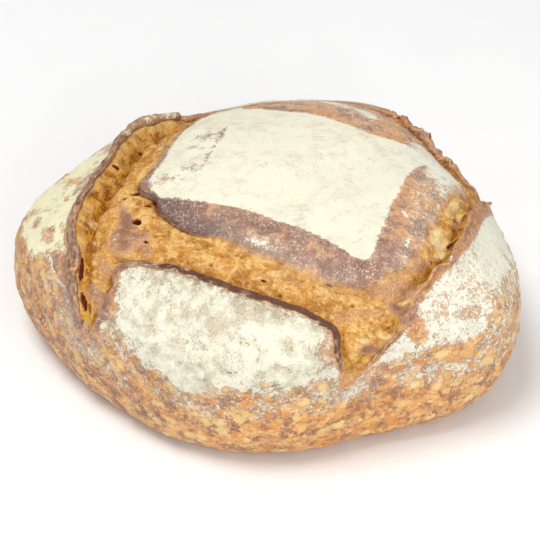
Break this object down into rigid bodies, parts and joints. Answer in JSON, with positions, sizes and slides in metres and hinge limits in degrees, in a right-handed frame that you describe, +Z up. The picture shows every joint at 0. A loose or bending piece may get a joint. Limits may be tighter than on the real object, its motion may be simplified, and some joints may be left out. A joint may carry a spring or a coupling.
{
  "type": "sourdough loaf",
  "caption": "Round country sourdough loaf, whole and uncut, scored in a square, with floured skin panels, curled crust lips and torn crumb between them.",
  "frame": {"origin": "middle of the loaf's plan, on its flat base", "axes": "+X along the loaf's longer width, +Y towards the back, +Z up from the base to the crown"},
  "size_m": [0.2604, 0.2415, 0.1058],
  "materials": {
    "crust": "matte"
  },
  "bodies": {
    "root": {"loaf": "crust"}
  },
  "joints": []
}
